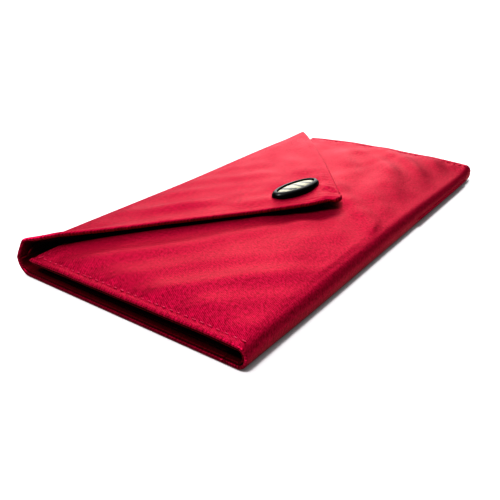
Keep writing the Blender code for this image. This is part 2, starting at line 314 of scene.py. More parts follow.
def settle(name, xs, ys, inside, pinned, seed, frames=26):
    """Lets the cloth settle on a flat board between its pinned points, and returns its height."""
    x, y = np.meshgrid(xs, ys)
    index = -np.ones(x.shape, int)
    index[inside] = np.arange(inside.sum())
    height = np.where(pinned, 0.0, soft_folds(x, y, seed))
    placed = np.stack([x, y, height], -1)[inside] * SIM_SCALE
    faces = []
    for i in range(len(ys) - 1):
        for j in range(len(xs) - 1):
            corners = (index[i, j], index[i, j + 1], index[i + 1, j + 1], index[i + 1, j])
            if min(corners) >= 0:
                faces.append([int(c) for c in corners])
    mesh = bpy.data.meshes.new(name)
    mesh.from_pydata(placed.tolist(), [], faces)
    cloth = bpy.data.objects.new(name, mesh)
    bpy.context.scene.collection.objects.link(cloth)
    cloth.shape_key_add(name="placed")
    cut = cloth.shape_key_add(name="cut")
    slant = -np.tanh(x / 40.0)
    wide = x + EXCESS * (0.38 * x + 0.485 * y * slant)
    deep = y + EXCESS * (0.485 * x * slant + 0.62 * y)
    flat = np.stack([wide, deep, np.zeros_like(x)], -1)[inside] * SIM_SCALE
    cut.data.foreach_set("co", flat.astype(np.float32).ravel())
    seams = cloth.vertex_groups.new(name="seams")
    seams.add([int(k) for k in index[inside & pinned]], 1.0, "REPLACE")
    modifier = cloth.modifiers.new("cloth", "CLOTH")
    modifier.point_cache.frame_start = 1
    modifier.point_cache.frame_end = frames
    for setting, value in CLOTH_SETTINGS.items():
        setattr(modifier.settings, setting, value)
    modifier.settings.rest_shape_key = cut
    modifier.settings.effector_weights.gravity = 0.05
    modifier.collision_settings.distance_min = 0.002
    board = board_under(f"{name}_board", 1.3 * max(abs(xs[0]), abs(xs[-1])) * SIM_SCALE)
    for step in range(1, frames + 1):
        bpy.context.scene.frame_set(step)
    settled = cloth.evaluated_get(bpy.context.evaluated_depsgraph_get())
    points = np.empty(3 * len(mesh.vertices), np.float32)
    settled.data.vertices.foreach_get("co", points)
    field = np.zeros(x.shape)
    field[inside] = points.reshape(-1, 3)[:, 2] / SIM_SCALE
    bpy.data.objects.remove(cloth, do_unlink=True)
    bpy.data.objects.remove(board, do_unlink=True)
    bpy.context.scene.frame_set(1)
    return ease(ease(field))


def read_field(field, xs, ys, x, y):
    """The settled height at any point, smoothly between the cloth's own points."""
    u = np.clip((x - xs[0]) / SIM_STEP, 0, len(xs) - 1.001)
    v = np.clip((y - ys[0]) / SIM_STEP, 0, len(ys) - 1.001)
    i, j = v.astype(int), u.astype(int)
    fu, fv = smooth(u - j) * 0.5 + (u - j) * 0.5, smooth(v - i) * 0.5 + (v - i) * 0.5
    low = field[i, j] * (1 - fu) + field[i, j + 1] * fu
    high = field[i + 1, j] * (1 - fu) + field[i + 1, j + 1] * fu
    return low * (1 - fv) + high * fv


FRONT_XS = np.arange(-97.5, 97.6, SIM_STEP)
FRONT_YS = np.arange(-50.0, 42.6, SIM_STEP)


def front_wrinkles():
    """The front's cloth is held along all four sides."""
    x, _ = np.meshgrid(FRONT_XS, FRONT_YS)
    pinned = np.zeros(x.shape, bool)
    pinned[0] = pinned[-1] = pinned[:, 0] = pinned[:, -1] = True
    return settle("front_cloth", FRONT_XS, FRONT_YS, np.ones(x.shape, bool), pinned, 5)


FLAP_XS = np.arange(-97.5, 97.6, SIM_STEP)
FLAP_YS = np.arange(-24.0, 51.1, SIM_STEP)


def flap_wrinkles():
    """The flap's cloth is held along its edges and the spine, and under the button."""
    x, y = np.meshgrid(FLAP_XS, FLAP_YS)
    near = (x - flap_edge(y, -1)) * EDGE_SLANT
    far = (flap_edge(y, 1) - x) * EDGE_SLANT
    inside = (near > 0.5) & (far > 0.5)
    cos, sin = math.cos(math.radians(BUTTON_TURN)), math.sin(math.radians(BUTTON_TURN))
    u = (x - BUTTON_X) * cos + (y - BUTTON_Y) * sin
    v = (y - BUTTON_Y) * cos - (x - BUTTON_X) * sin
    under_button = (u / 12.5) ** 2 + (v / 5.0) ** 2 < 1.0
    pinned = inside & ((near < 3.5) | (far < 3.5) | (y > 48.5) | under_button)
    return settle("flap_cloth", FLAP_XS, FLAP_YS, inside, pinned, 11)


# ---- the shape of the front ---------------------------------------------------------------------
# Long soft folds of the front: centre x and y, direction in degrees, half length, half width, height.
# The last is the hollow under the flap's tip.
LONG_FOLDS = (
    (34.0, -26.0, 8.0, 26.0, 5.0, 0.55),
    (64.0, -21.0, 4.0, 22.0, 4.5, 0.50),
    (70.0, -10.5, -18.0, 20.0, 4.0, -0.50),
    (46.0, -15.5, 12.0, 16.0, 3.6, -0.35),
    (86.0, 4.0, -30.0, 16.0, 5.0, 0.45),
    (-46.0, -33.0, 24.0, 30.0, 5.5, 0.30),
    (-52.0, -8.0, 38.0, 26.0, 5.0, 0.28),
    (-20.0, -40.0, 20.0, 22.0, 4.0, -0.30),
    (-9.0, -20.0, -40.0, 13.0, 6.0, -1.5),
)


def long_folds(x, y):
    """Height of the long soft folds."""
    height = np.zeros(np.broadcast(x, y).shape)
    for cx, cy, turn, reach, width, rise in LONG_FOLDS:
        cos, sin = math.cos(math.radians(turn)), math.sin(math.radians(turn))
        along = (x - cx) * cos + (y - cy) * sin
        across = (y - cy) * cos - (x - cx) * sin
        height = height + rise * np.exp(-((along / reach) ** 2) - (across / width) ** 2)
    return height


def fold_top_radius(x):
    """The bottom fold is creased at the near end, and soft and round along the rest."""
    return FOLD_TOP_RADIUS + 1.6 * smooth((x + 96.0) / 50.0) - 1.0 * smooth((x - 20.0) / 80.0)


def front_height(x, y):
    """Top of the front panel: it falls towards the mouth, the fold and the stitched short sides."""
    base = FOLD_HEIGHT + (MOUTH_HEIGHT - FOLD_HEIGHT) * (y - FOLD_CENTRE_Y) / (MOUTH_Y - FOLD_CENTRE_Y)
    left, right = HALF_LENGTH + x, HALF_LENGTH - x
    left_drop = np.interp(y, (-47.0, -36.0, 44.5), (1.6, 1.0, 0.2))
    right_drop = np.interp(y, (-47.0, -36.0, -20.0, 10.0, 26.0, 44.5), (1.4, 0.5, -0.2, -1.2, -1.2, -0.4))
    rim = (1 - smooth(left / 12)) * left_drop + (1 - smooth(right / 14)) * right_drop
    inside = smooth(left / 14) * smooth(right / 14)
    far = smooth((x + 10.0) / 90.0)
    fold_slope = (1.35 + 1.7 * far) * (1 - smooth((y + 52.0) / (24.0 + 4.0 * far)))
    puff = inside * 0.85 * smooth((y + 51.0) / 26.0) * (1 - smooth((y - 20.0) / 24.0))
    snap = np.exp(-((np.hypot(x - BUTTON_X, y - BUTTON_Y) / SNAP_FLAT_RADIUS) ** 4))
    return base - rim - (fold_slope * inside - puff) * (1 - snap)


def stitch_pull(x, y):
    """The topstitch draws the hem down, with a small dimple at each stitch."""
    pull = np.zeros(np.broadcast(x, y).shape)
    for side in (-1, 1):
        edge = HALF_LENGTH - side * x - STITCH_INSET
        groove = np.exp(-((edge / 0.8) ** 2))
        pull = pull + groove * (0.24 - 0.16 * np.cos(2 * math.pi * (y - STITCH_START) / STITCH_PITCH))
        puckers = np.exp(-(((edge - 2.6) / 2.4) ** 2)) * np.sin(2 * math.pi * y / 7.1 + 1.7 * np.sin(y / 9.0))
        pull = pull - 0.13 * puckers
    return pull


def fold_tuck(xs):
    """How far the bottom fold is drawn in along its length, and round its far corner."""
    near_end = 0.6 * (1 - smooth((xs + HALF_LENGTH) / 120.0))
    tuck = 0.2 + near_end + 0.35 * (1 - smooth((HALF_LENGTH - xs) / 30.0))
    corner = np.clip((xs - HALF_LENGTH + 6.0) / 6.5, 0.0, 1.0)
    return tuck + 1.0 * (1 - np.sqrt(1 - corner**2)) + 0.4 * smooth((xs + 60.0) / 60.0)


def front_grid(depth, inset, mouth_inset, columns=201, top_rows=96, least=LEAST_RADIUS):
    """The front's cloth at a depth: under the pouch, round the bottom fold, and up to the mouth."""
    xs = np.linspace(-HALF_LENGTH + inset, HALF_LENGTH - inset, columns)
    tuck = fold_tuck(xs)
    near_end = 1 - smooth((xs + HALF_LENGTH) / 35.0)
    bottom = np.maximum(FOLD_BOTTOM_RADIUS + 0.7 * near_end - depth, least)
    top = np.maximum(fold_top_radius(xs) + 1.0 * near_end - depth, least)
    wall_y = -HALF_WIDTH + depth
    rows = []
    low_y = wall_y + bottom
    for share in np.linspace(0, 1, 6)[:-1]:
        y = SEAM_Y + (low_y - SEAM_Y) * share
        rows.append([xs, np.broadcast_to(y, xs.shape), np.full_like(xs, depth)])
    for turn in np.radians(270 - 90 * np.arange(9) / 9):
        out, up = math.cos(turn), 1 + math.sin(turn)
        rows.append([xs, low_y + bottom * out - tuck * out, depth + bottom * up])
    height = front_height(xs, wall_y + top) - depth
    wall_low = depth + bottom
    for share in np.linspace(0, 1, 6)[:-1]:
        rows.append([xs, wall_y + tuck, wall_low + (height - top - wall_low) * share])
    for turn in np.radians(180 - 90 * np.arange(9) / 9):
        rows.append([xs, wall_y + top + top * math.cos(turn) + tuck, height - top + top * math.sin(turn)])
    top_y = wall_y + top
    for share in np.linspace(0, 1, top_rows):
        ys = top_y + (MOUTH_Y - mouth_inset - top_y) * share + tuck * (1 - share) ** 3
        fade = smooth((ys - top_y) / 6)
        z = front_height(xs, ys) - depth + long_folds(xs, ys) * fade
        if depth == 0:
            z = z - stitch_pull(xs, ys) * fade
            calm = 1 - np.exp(-((np.hypot(xs - BUTTON_X, ys - BUTTON_Y) / SNAP_CALM_RADIUS) ** 4))
            calm = calm * smooth((ys - top_y) / (2.0 + 14.0 * smooth((xs + 20.0) / 60.0)))
            z = z + calm * read_field(FRONT_FIELD, FRONT_XS, FRONT_YS, xs, ys)
        rows.append([xs, ys, z])
    return np.array([np.stack(row, -1) for row in rows])


def path_uv(grid, start=0.0):
    """U is the x of each point, and V the length of cloth along the middle column."""
    middle = grid[:, grid.shape[1] // 2]
    steps = np.linalg.norm(np.diff(middle, axis=0), axis=1)
    v = start + np.concatenate([[0.0], np.cumsum(steps)])
    return np.stack([grid[..., 0], np.broadcast_to(v[:, None], grid.shape[:2])], -1)


def hem_depth(grid):
    """Cloth thickness: turned double along both short sides."""
    side = HALF_LENGTH - np.abs(grid[..., 0])
    return SATIN_DEPTH + (SATIN_HEM - SATIN_DEPTH) * (1 - smooth((side - 4.5) / 1.5))


# ---- the back and the lower half of the spine ---------------------------------------------------
def back_grid(depth, inset, columns=101):
    """The back's cloth at a depth: from the seam under the pouch to half way up the spine."""
    xs = np.linspace(-HALF_LENGTH + inset, HALF_LENGTH - inset, columns)
    radius = max(SPINE_BOTTOM_RADIUS - depth, LEAST_RADIUS)
    wall_y = HALF_WIDTH - depth
    corner_y = wall_y - radius
    path = [(SEAM_Y + (corner_y - SEAM_Y) * share, depth) for share in np.linspace(0, 1, 49)[:-1]]
    path += [tuple(p) for p in arc((corner_y, depth + radius), radius, 270, 360, 10)]
    low = depth + radius
    path += [(wall_y, low + (SPINE_SEAM_Z - low) * share) for share in np.linspace(0, 1, 4)]
    return np.array([[(x, y, z) for x in xs] for y, z in path])


# ---- the flap and the upper half of the spine ---------------------------------------------------
def flap_edge(y, side):
    """x of the flap's edge: straight on the near side, a little bowed on the far side."""
    along = np.clip((FLAP_HINGE_Y - y) / (FLAP_HINGE_Y - TIP_Y), 0.0, 1.0)
    if side < 0:
        return -FLAP_HALF_BASE + (TIP_X + FLAP_HALF_BASE) * along
    bow = 3.0 * np.sin(math.pi * along) ** 0.8
    return FLAP_FAR_BASE - (FLAP_FAR_BASE - TIP_X) * along + bow


def flap_lift(x, y):
    """How far the flap curls up off its plane, along its near edge most of all. Each tuple gives the
    lift, or how far in it reaches, at shares of the way from the spine to the tip."""
    sag = (1.4 * (1 - smooth((x + 20.0) / 90.0)) - 0.8) * smooth((y - 20.0) / 30.0)
    along = np.clip((FLAP_HINGE_Y - y) / (FLAP_HINGE_Y - TIP_Y), 0.0, 1.0)
    slant = (FLAP_HINGE_Y - TIP_Y) / math.hypot(FLAP_HINGE_Y - TIP_Y, TIP_X + FLAP_HALF_BASE)
    from_near = (x - flap_edge(y, -1)) * slant
    near = np.interp(along, (0.0, 0.1, 0.2, 0.3, 0.5, 0.7, 1.0), (3.5, 3.4, 2.4, 1.7, 0.85, 0.1, 0.0))
    reach = np.interp(along, (0.0, 0.2, 0.6, 1.0), (6.5, 10.0, 14.0, 8.0))
    from_far = (flap_edge(y, 1) - x) * slant
    far = np.interp(along, (0.0, 0.3, 0.7, 1.0), (0.6, 1.3, 1.0, 0.5))
    return near * (1 - smooth(from_near / reach)) + far * (1 - smooth(from_far / 14.0)) - sag


def flap_relief(x, y):
    """The turned seam allowance stands up along both slanting edges, and the cloth puckers at the tip."""
    from_near = (x - flap_edge(y, -1)) * EDGE_SLANT
    from_far = (flap_edge(y, 1) - x) * EDGE_SLANT
    edge = np.minimum(from_near, from_far)
    allowance = 0.10 * (1 - smooth((edge - 2.6) / 0.9)) - 0.04 * np.exp(-(((edge - 2.9) / 0.7) ** 2))
    near_tip = smooth((30.0 - np.abs(x - 8.0)) / 20.0)
    tugs = np.sin((x + 0.6 * y) * 1.35) * np.exp(-(((edge - 3.2) / 1.8) ** 2)) * near_tip
    allowance = allowance + 0.12 * tugs
    from_tip = np.hypot(x - TIP_X, y - TIP_Y)
    turn = np.arctan2(y - BUTTON_Y + 2.0, x - BUTTON_X - 13.0)
    puckers = 0.6 * np.sin(turn * 8.0 + from_tip * 0.35) * np.exp(-(((from_tip - 7.5) / 5.0) ** 2))
    return allowance + puckers * smooth(edge / 2.0)


def flap_grid(depth, inset, columns=181, flap_rows=110):
    """The flap's cloth at a depth: up the spine, over its fold, and down to the rounded tip."""
    radius = max(SPINE_TOP_RADIUS - depth, LEAST_RADIUS)
    wall_y = HALF_WIDTH - depth
    top_z = SPINE_HEIGHT - depth
    share = np.linspace(0, 1, columns)
    path = []
    high = top_z - radius
    for step in np.linspace(0, 1, 7)[:-1]:
        path.append((wall_y, SPINE_SEAM_Z + (high - SPINE_SEAM_Z) * step))
    path += [tuple(p) for p in arc((wall_y - radius, top_z - radius), radius, 0, 90, 10)]
    start_y = wall_y - radius
    end_y = TIP_Y + inset * TIP_SHIFT
    for step in np.linspace(0, 1, flap_rows):
        path.append((start_y + (end_y - start_y) * step, None))
    rows = []
    for y, z in path:
        on_flap = z is None
        plan_y = min(y, FLAP_HINGE_Y)
        near = float(flap_edge(plan_y, -1)) + inset * EDGE_SHIFT
        far = float(flap_edge(plan_y, 1)) - inset * EDGE_SHIFT
        if not on_flap:
            rise = smooth((z - SPINE_SEAM_Z) / (top_z - SPINE_SEAM_Z))
            near = -HALF_LENGTH + inset + (near + HALF_LENGTH - inset) * rise
            far = HALF_LENGTH - inset + (far - HALF_LENGTH + inset) * rise
        else:
            rise = 1.0
            z = SPINE_HEIGHT + FLAP_SLOPE * (FLAP_HINGE_Y - y) - depth
        tip = y - end_y
        if tip < TIP_RADIUS:
            centre = (near + far) / 2
            half = max((far - near) / 2, 0.4)
            widen = TIP_RADIUS * math.sqrt(max(0.0, 1 - (1 - tip / TIP_RADIUS) ** 2))
            half = min(half + 1.2, max(widen * 1.15, 0.35))
            near, far = centre - half, centre + half
        xs = near + (far - near) * share
        lift = flap_lift(xs, np.full_like(xs, plan_y)) * rise
        lean = 0.1 * np.maximum(lift, 0.0) * smooth((plan_y - 30.0) / 20.0)
        if depth == 0 and on_flap:
            ys = np.full_like(xs, y)
            fade = smooth((start_y - y) / 6.0)
            lift = lift + fade * flap_relief(xs, ys)
            lift = lift + fade * read_field(FLAP_FIELD, FLAP_XS, FLAP_YS, xs, ys)
        rows.append(np.stack([xs, y - lean, z + lift], -1))
    return np.array(rows)


# ---- materials ----------------------------------------------------------------------------------
def satin(name, base, glow, roughness=0.4):
    """Polyester duchess satin: long floats catch the light along the warp, so the shine is broad,
    tinted by the dye, and brighter at a glancing angle. The colour is painted darker over the lowest
    4 mm, as painted shade on the sides that turn away from the light above. The weave is drawn three
    times too coarse, at half a millimetre, so that it shows."""
    mat, tree, shader = new_material(name)
    coord = node(tree, "ShaderNodeTexCoord")
    uv = coord.outputs["UV"]
    turned = node(tree, "ShaderNodeMapping", [("Vector", uv)], sockets={"Rotation": (0, 0, math.radians(28))})
    drawn = node(
        tree, "ShaderNodeMapping", [("Vector", turned.outputs["Vector"])], sockets={"Scale": (1.0, 0.45, 1.0)}
    )
    threads = node(
        tree,
        "ShaderNodeTexWave",
        [("Vector", turned.outputs["Vector"])],
        sockets={"Scale": WAVE_MM / 0.52, "Distortion": 2.0, "Detail": 1.0, "Detail Scale": 2.0},
    )
    floats = node(
        tree,
        "ShaderNodeTexNoise",
        [("Vector", drawn.outputs["Vector"])],
        sockets={"Scale": NOISE_MM / (2 / 3), "Detail": 3.0, "Roughness": 0.7},
    )
    cloudy = node(
        tree,
        "ShaderNodeTexNoise",
        [("Vector", uv)],
        sockets={"Scale": NOISE_MM / (50 / 3), "Detail": 3.0, "Roughness": 0.5},
    )
    weave = node(
        tree,
        "ShaderNodeMix",
        [("A", threads.outputs["Fac"]), ("B", floats.outputs["Fac"])],
        data_type="FLOAT",
        sockets={"Factor": 0.8},
    )
    height = weave.outputs["Result"]
    ramp = node(tree, "ShaderNodeValToRGB", [("Fac", height)])
    stops = ramp.color_ramp.elements
    stops[0].position, stops[0].color = 0.33, linear(base)
    stops[1].position, stops[1].color = 0.67, linear(glow)
    # Painted shade: the colour is darkened to half at the bottom and reaches full strength 4 mm up.
    place = node(tree, "ShaderNodeSeparateXYZ", [("Vector", coord.outputs["Object"])])
    painted_low_shade = node(
        tree,
        "ShaderNodeMapRange",
        [("Value", place.outputs["Z"])],
        sockets={"From Min": 0.0005, "From Max": 0.0040, "To Min": 0.5, "To Max": 1.0},
    )
    shade = node(
        tree,
        "ShaderNodeVectorMath",
        [("Vector", ramp.outputs["Color"]), ("Scale", painted_low_shade.outputs["Result"])],
        operation="SCALE",
    )
    tree.links.new(shade.outputs["Vector"], shader.inputs["Base Color"])
    rough = node(
        tree,
        "ShaderNodeMapRange",
        [("Value", cloudy.outputs["Fac"])],
        sockets={"From Min": 0.3, "From Max": 0.7, "To Min": roughness - 0.04, "To Max": roughness + 0.05},
    )
    tree.links.new(rough.outputs["Result"], shader.inputs["Roughness"])
    bump = node(
        tree, "ShaderNodeBump", [("Height", height)], sockets={"Strength": 0.5, "Distance": 0.0002}
    )
    tree.links.new(bump.outputs["Normal"], shader.inputs["Normal"])
    set_sockets(
        shader,
        Metallic=0.48,
        Anisotropic=0.35,
        Sheen_Weight=0.02,
        Sheen_Roughness=0.45,
        Sheen_Tint=linear("#ff5a70"),
        Specular_Tint=linear("#ff4c72"),
        Specular_IOR_Level=0.28,
    )
    return mat


def simple(name, colour, roughness, grain_mm, grain, metallic=0.0, **extra):
    """A plain finish whose roughness and height follow a fine grain of a size in mm."""
    mat, tree, shader = new_material(name)
    coord = node(tree, "ShaderNodeTexCoord")
    noise = node(
        tree,
        "ShaderNodeTexNoise",
        [("Vector", coord.outputs["Object"])],
        sockets={"Scale": NOISE_MM / grain_mm, "Detail": 3.0},
    )
    rough = node(
        tree,
        "ShaderNodeMapRange",
        [("Value", noise.outputs["Fac"])],
        sockets={"To Min": roughness * 0.8, "To Max": min(1.0, roughness * 1.25)},
    )
    tree.links.new(rough.outputs["Result"], shader.inputs["Roughness"])
    bump = node(
        tree,
        "ShaderNodeBump",
        [("Height", noise.outputs["Fac"])],
        sockets={"Strength": grain, "Distance": 0.0001},
    )
    tree.links.new(bump.outputs["Normal"], shader.inputs["Normal"])
    set_sockets(shader, Base_Color=linear(colour), Metallic=metallic, **extra)
    return mat


def banded_shell(name):
    """Cut and polished shell: pale cream, crossed by a few ragged dark bands, under a clear polish."""
    mat, tree, shader = new_material(name)
    coord = node(tree, "ShaderNodeTexCoord")
    place = node(
        tree,
        "ShaderNodeMapping",
        [("Vector", coord.outputs["UV"])],
        sockets={"Rotation": (0, 0, math.radians(-32))},
    )
    bands = node(
        tree,
        "ShaderNodeTexWave",
        [("Vector", place.outputs["Vector"])],
        sockets={"Scale": WAVE_MM / 4.6, "Distortion": 4.5, "Detail": 4.0, "Detail Scale": 2.2},
    )
    ramp = node(tree, "ShaderNodeValToRGB", [("Fac", bands.outputs["Fac"])])
    stops = ramp.color_ramp.elements
    stops[0].position, stops[0].color = 0.12, linear("#26251e")
    stops[1].position, stops[1].color = 0.60, linear("#8f8c74")
    middle = stops.new(0.30)
    middle.color = linear("#605d49")
    tree.links.new(ramp.outputs["Color"], shader.inputs["Base Color"])
    set_sockets(shader, Roughness=0.4, Coat_Weight=0.25, Coat_Roughness=0.15, Specular_IOR_Level=0.4)
    return mat


RED = satin("red_duchess_satin", "#6c0828", "#aa1e4e")
# A cheaper, thinner satin, duller than the outside. Its darker colour is painted shade, so that the mouth,
# the side gaps and the lower plies read as deep.
SHADED_RED_LINING = satin("red_lining_satin_painted_shade", "#4a0016", "#6c0a28", roughness=0.5)
# Pressed, sized cotton: matt and off-white, with a coarse tooth.
INTERFACING = simple("woven_interfacing", "#e6e0d4", 0.9, grain_mm=2 / 3, grain=0.5)
# Cast polyester, tumbled: almost black, with one soft highlight that waves a little.
BLACK_RESIN = simple("black_resin", "#060607", 0.36, grain_mm=4.0, grain=0.03, Specular_IOR_Level=0.3)
SHELL = banded_shell("banded_shell")
# Barrel-plated nickel on pressed steel: warm grey and clear, with faint rubbing marks.
NICKEL = simple("nickel_plate", "#b4b0aa", 0.28, grain_mm=0.4, grain=0.05, metallic=1.0)
# Sintered and ground: dark grey, dull and grainy.
DARK_MAGNET = simple("sintered_magnet", "#2b2c30", 0.5, grain_mm=1 / 3, grain=0.3, metallic=1.0)
# Spun and twisted: fuzzy and matt, a shade lighter than the satin round it.
RED_THREAD = simple("red_polyester_thread", "#a41c46", 0.5, grain_mm=5 / 13, grain=0.6)


# ---- cloth pieces -------------------------------------------------------------------------------
def front_pieces():
    """The front: satin, lining, and the board between them, which stops short of the bottom fold."""
    grid = front_grid(0.0, SATIN_INSET, 0.5)
    satin_piece = cloth_shell(
        "front_satin", grid, hem_depth(grid), path_uv(grid), RED, (False, True, True, True)
    )
    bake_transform(satin_piece)
    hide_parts("front_outer")

    grid = front_grid(LINING_AT, LINING_INSET, 1.4, least=LINING_LEAST_RADIUS)
    lining = cloth_shell(
        "front_lining_satin", grid, LINING_DEPTH, path_uv(grid), SHADED_RED_LINING, (False, True, True, True)
    )
    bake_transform(lining)
    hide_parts("front_lining")

    grid = front_grid(BOARD_AT, BOARD_INSET, BOARD_INSET)[31:]
    board = cloth_shell("front_interfacing", grid, BOARD_DEPTH, path_uv(grid), INTERFACING)
    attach(board, "front")
    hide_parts("front_stiffener")


def back_pieces():
    """The back, and the lower half of the spine."""
    grid = back_grid(0.0, SATIN_INSET)
    satin_piece = cloth_shell(
        "back_satin", grid, hem_depth(grid), path_uv(grid, -92.0), RED, (False, False, True, True), flip=True
    )
    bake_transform(satin_piece)
    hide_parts("back_outer", "spine_outer")

    grid = back_grid(LINING_AT, LINING_INSET)
    rounded = (False, False, True, True)
    lining = cloth_shell(
        "back_lining_satin", grid, LINING_DEPTH, path_uv(grid), SHADED_RED_LINING, rounded, flip=True
    )
    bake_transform(lining)
    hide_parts("back_lining")

    grid = back_grid(BOARD_AT, BOARD_INSET)[3:46]
    board = cloth_shell("back_interfacing", grid, BOARD_DEPTH, path_uv(grid), INTERFACING, flip=True)
    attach(board, "back")
    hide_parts("back_stiffener")


def flap_depth(grid):
    """Satin thickness on the flap: its allowance is turned under along both slanting edges."""
    x, y = grid[..., 0], np.minimum(grid[..., 1], FLAP_HINGE_Y)
    edge = np.minimum(x - flap_edge(y, -1), flap_edge(y, 1) - x) * EDGE_SLANT
    edge = np.minimum(edge, (y - TIP_Y) * 0.9)
    on_flap = FLAP_SATIN_DEPTH + FLAP_ALLOWANCE * (1 - smooth((edge - 2.2) / 1.2))
    spine = smooth((grid[..., 1] - 48.5) / 2.0)
    return on_flap * (1 - spine) + hem_depth(grid) * spine


def flap_pieces():
    """The flap, and the upper half of the spine."""
    grid = flap_grid(0.0, FLAP_SATIN_INSET)
    satin_piece = cloth_shell(
        "flap_satin", grid, flap_depth(grid), path_uv(grid), RED, (False, True, True, True), flip=True
    )
    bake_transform(satin_piece)
    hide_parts("flap_outer")

    grid = flap_grid(FLAP_LINING_AT, FLAP_LINING_INSET)
    rounded = (False, True, True, True)
    lining = cloth_shell(
        "flap_lining_satin", grid, FLAP_LINING_DEPTH, path_uv(grid), SHADED_RED_LINING, rounded, flip=True
    )
    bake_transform(lining)
    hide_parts("flap_lining", "spine_lining")

    grid = flap_grid(FLAP_BOARD_AT, BOARD_INSET)[20:]
    board = cloth_shell("flap_interfacing", grid, FLAP_BOARD_DEPTH, path_uv(grid), INTERFACING, flip=True)
    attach(board, "flap")
    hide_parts("flap_stiffener")

    xs = np.linspace(-93, 93, 48)
    zs = np.linspace(3.2, 8.0, 5)
    grid = np.array([[(x, HALF_WIDTH - 0.9, z) for x in xs] for z in zs])
    uv = path_uv(grid)
    spine_board = cloth_shell("spine_interfacing", grid, FLAP_BOARD_DEPTH, uv, INTERFACING, flip=True)
    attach(spine_board, "spine")
    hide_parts("spine_stiffener")


def gusset(side):
    """A pleated strip closes each short side: it folds inwards between the two panels. The path is
    the distance from the middle, and the share of the way up."""
    name = "left" if side < 0 else "right"
    ys = np.linspace(-42.5, MOUTH_Y - 1.5, 60)
    path = ((97.2, 0.0), (94.0, 0.10), (91.0, 0.28), (89.6, 0.5), (91.0, 0.72), (94.0, 0.90), (97.2, 1.0))
    rows = []
    for x, share in path:
        low = LINING_AT + LINING_DEPTH + GUSSET_GAP
        high = front_height(np.full_like(ys, side * x), ys) - LINING_AT - LINING_DEPTH - GUSSET_GAP
        rows.append(np.stack([np.full_like(ys, side * x), ys, low + (high - low) * share], -1))
    grid = np.array(rows)
    strip = np.linspace(0, 18, len(path))[:, None]
    uv = np.stack([grid[..., 1], np.broadcast_to(strip, grid.shape[:2])], -1)
    # The strip is in the darker lining satin, whose colour is painted shade for the gap in the side.
    piece = cloth_shell(f"{name}_gusset", grid, GUSSET_DEPTH, uv, SHADED_RED_LINING)
    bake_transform(piece)
    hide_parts(f"{name}_gusset_back_leaf", f"{name}_gusset_front_leaf")


# ---- button and snap ----------------------------------------------------------------------------
def flap_matrix(lift):
    """Carries a piece made about the origin to the button's place on the flap."""
    top = SPINE_HEIGHT + FLAP_SLOPE * (FLAP_HINGE_Y - BUTTON_Y)
    matrix = Matrix.Translation((BUTTON_X, BUTTON_Y, top + lift))
    matrix @= Matrix.Rotation(-math.atan(FLAP_SLOPE), 4, "X")
    return matrix @ Matrix.Rotation(math.radians(BUTTON_TURN), 4, "Z")


def stacked_rings(name, rings, mat, matrix, segments=96, close="caps"):
    """Closed oval rings of (half length, half width, z), capped at both ends or joined in a ring."""
    turns = 2 * math.pi * np.arange(segments) / segments
    cos, sin = np.cos(turns), np.sin(turns)
    verts = np.concatenate([np.stack([a * cos, b * sin, np.full_like(cos, z)], -1) for a, b, z in rings])
    faces = []
    loops = len(rings)
    for k in range(loops if close == "ring" else loops - 1):
        low, high = k * segments, ((k + 1) % loops) * segments
        for m in range(segments):
            after = (m + 1) % segments
            faces.append((low + m, low + after, high + after, high + m))
    if close == "caps":
        faces.append(tuple(range(segments))[::-1])
        faces.append(tuple(range((loops - 1) * segments, loops * segments)))
    uvs = verts[:, :2].copy()
    verts = np.array([tuple(matrix @ Vector(v)) for v in verts])
    return link_mesh(name, verts, faces, uvs, mat)


def button():
    """A resin rim in rings, up its outer side and down its inner one, round a low domed shell."""
    matrix = flap_matrix(0.02)
    rim = [
        (11.0, 3.2, 0.0),
        (12.9, 4.9, 0.02),
        (13.8, 5.75, 0.3),
        (14.15, 6.1, 0.9),
        (14.1, 6.05, 1.5),
        (13.75, 5.7, 2.15),
        (13.2, 5.2, 2.6),
        (12.6, 4.6, 2.85),
        (12.1, 4.1, 2.9),
        (11.7, 3.7, 2.8),
        (11.45, 3.5, 2.5),
        (11.4, 3.45, 1.0),
    ]
    body = stacked_rings("button_rim", rim, BLACK_RESIN, matrix, close="ring")
    base = stacked_rings(
        "button_base", [(11.3, 3.4, 0.05), (11.3, 3.4, 0.9)], BLACK_RESIN, matrix, segments=64
    )
    shares = (1.0, 0.995, 0.96, 0.85, 0.7, 0.5, 0.3, 0.12, 0.02)
    rises = (-1.0, 0.0, 0.14, 0.3, 0.44, 0.56, 0.63, 0.66, 0.66)
    stone = [(11.38 * s, 3.43 * s, 2.3 + r) for s, r in zip(shares, rises)]
    inlay = stacked_rings("button_shell", stone, SHELL, matrix)
    for piece in (body, base, inlay):
        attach(piece, "flap")
    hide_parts("button_body")
    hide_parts("button_inlay")


